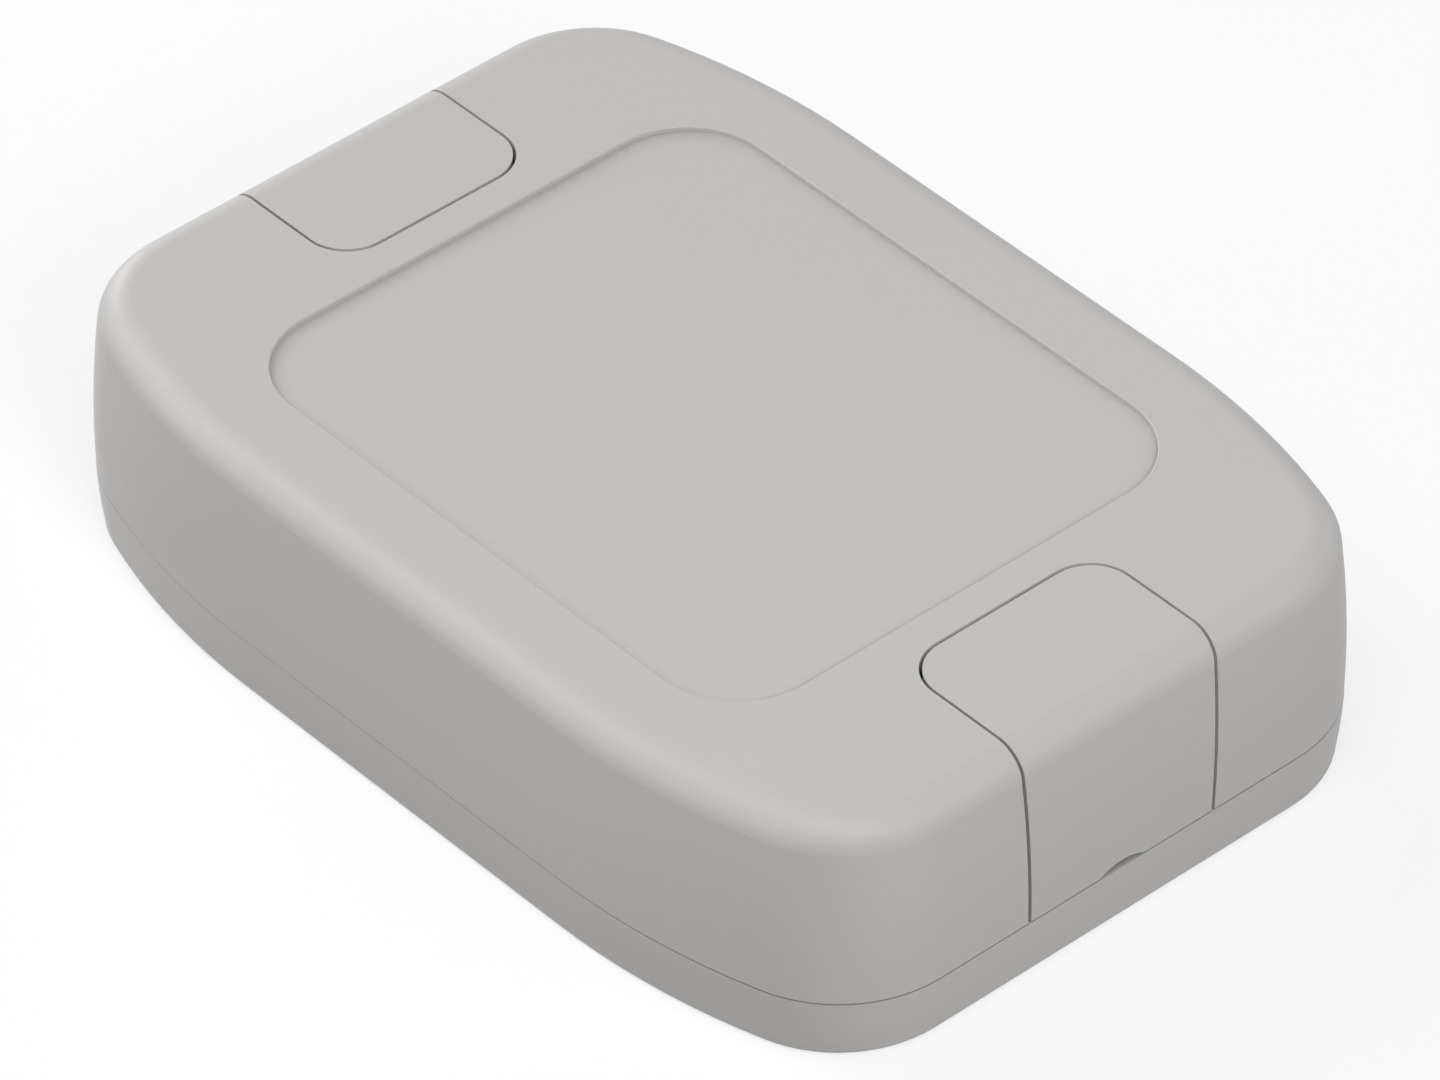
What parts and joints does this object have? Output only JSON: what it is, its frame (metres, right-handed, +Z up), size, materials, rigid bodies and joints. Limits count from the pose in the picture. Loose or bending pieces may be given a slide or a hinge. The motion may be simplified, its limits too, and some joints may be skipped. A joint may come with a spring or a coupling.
{
  "type": "electronics enclosure",
  "caption": "Flat two-part plastic electronics case with bowed long sides, a label recess on top and pull-off end covers that hide the case screws and wall fixing holes.",
  "frame": {"origin": "centre of the underside", "axes": "+X along the case towards the front end cover, +Y across it, +Z up through the top face with the label recess"},
  "size_m": [0.15, 0.1054, 0.0358],
  "materials": {
    "case_plastic": "fine moulded texture, matte",
    "seal_rubber": "matte",
    "screw_steel": "zinc plated",
    "insert_brass": "turned"
  },
  "bodies": {
    "case": {"base_shell": "case_plastic", "top_shell": "case_plastic", "seal_gasket": "seal_rubber", "case_screw_1": "screw_steel", "case_screw_2": "screw_steel", "case_screw_3": "screw_steel", "case_screw_4": "screw_steel", "thread_insert_1": "insert_brass", "thread_insert_2": "insert_brass", "thread_insert_3": "insert_brass", "thread_insert_4": "insert_brass"},
    "front_end_cover": {"front_cover": "case_plastic"},
    "rear_end_cover": {"rear_cover": "case_plastic"}
  },
  "joints": [
    {"name": "front_cover_pull", "type": "slide", "parent": "case", "child": "front_end_cover", "axis": [1, 0, 0], "range_m": [0, 0.03]},
    {"name": "rear_cover_pull", "type": "slide", "parent": "case", "child": "rear_end_cover", "axis": [-1, 0, 0], "range_m": [0, 0.03]}
  ]
}
